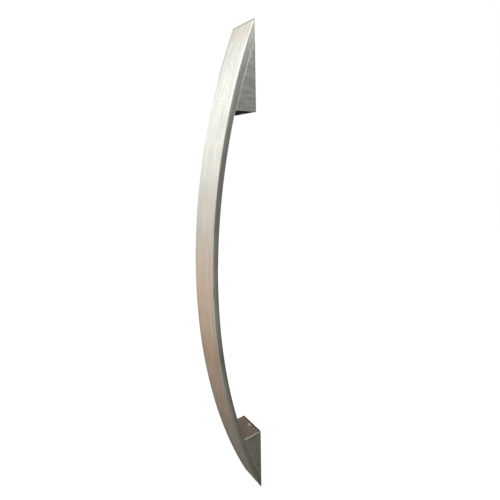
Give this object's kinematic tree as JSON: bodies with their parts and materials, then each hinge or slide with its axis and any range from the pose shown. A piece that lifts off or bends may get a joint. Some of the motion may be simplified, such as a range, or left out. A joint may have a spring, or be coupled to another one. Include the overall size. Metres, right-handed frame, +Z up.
{
  "type": "curved pull handle",
  "caption": "Bowed flat-bar pull handle in satin stainless steel, on two wedge feet held by concealed tapped bosses and grub screws.",
  "frame": {"origin": "on the door's face, midway between the two fixing centres and centred across the bar", "axes": "+Z up along the handle, +Y into the door, so the bar bows out towards -Y, +X across the bar"},
  "size_m": [0.03, 0.048, 0.44],
  "materials": {
    "brushed_bar": "satin stainless steel, brushed along the bar",
    "ground_foot": "satin stainless steel, linished flat faces with eased edges",
    "turned_boss": "turned steel, fine lathe lines",
    "screw_steel": "plain stainless set screw"
  },
  "bodies": {
    "root": {"bar": "brushed_bar", "upper_foot": "ground_foot", "lower_foot": "ground_foot", "upper_fixing_boss": "turned_boss", "lower_fixing_boss": "turned_boss", "upper_grub_screw": "screw_steel", "lower_grub_screw": "screw_steel"}
  },
  "joints": []
}
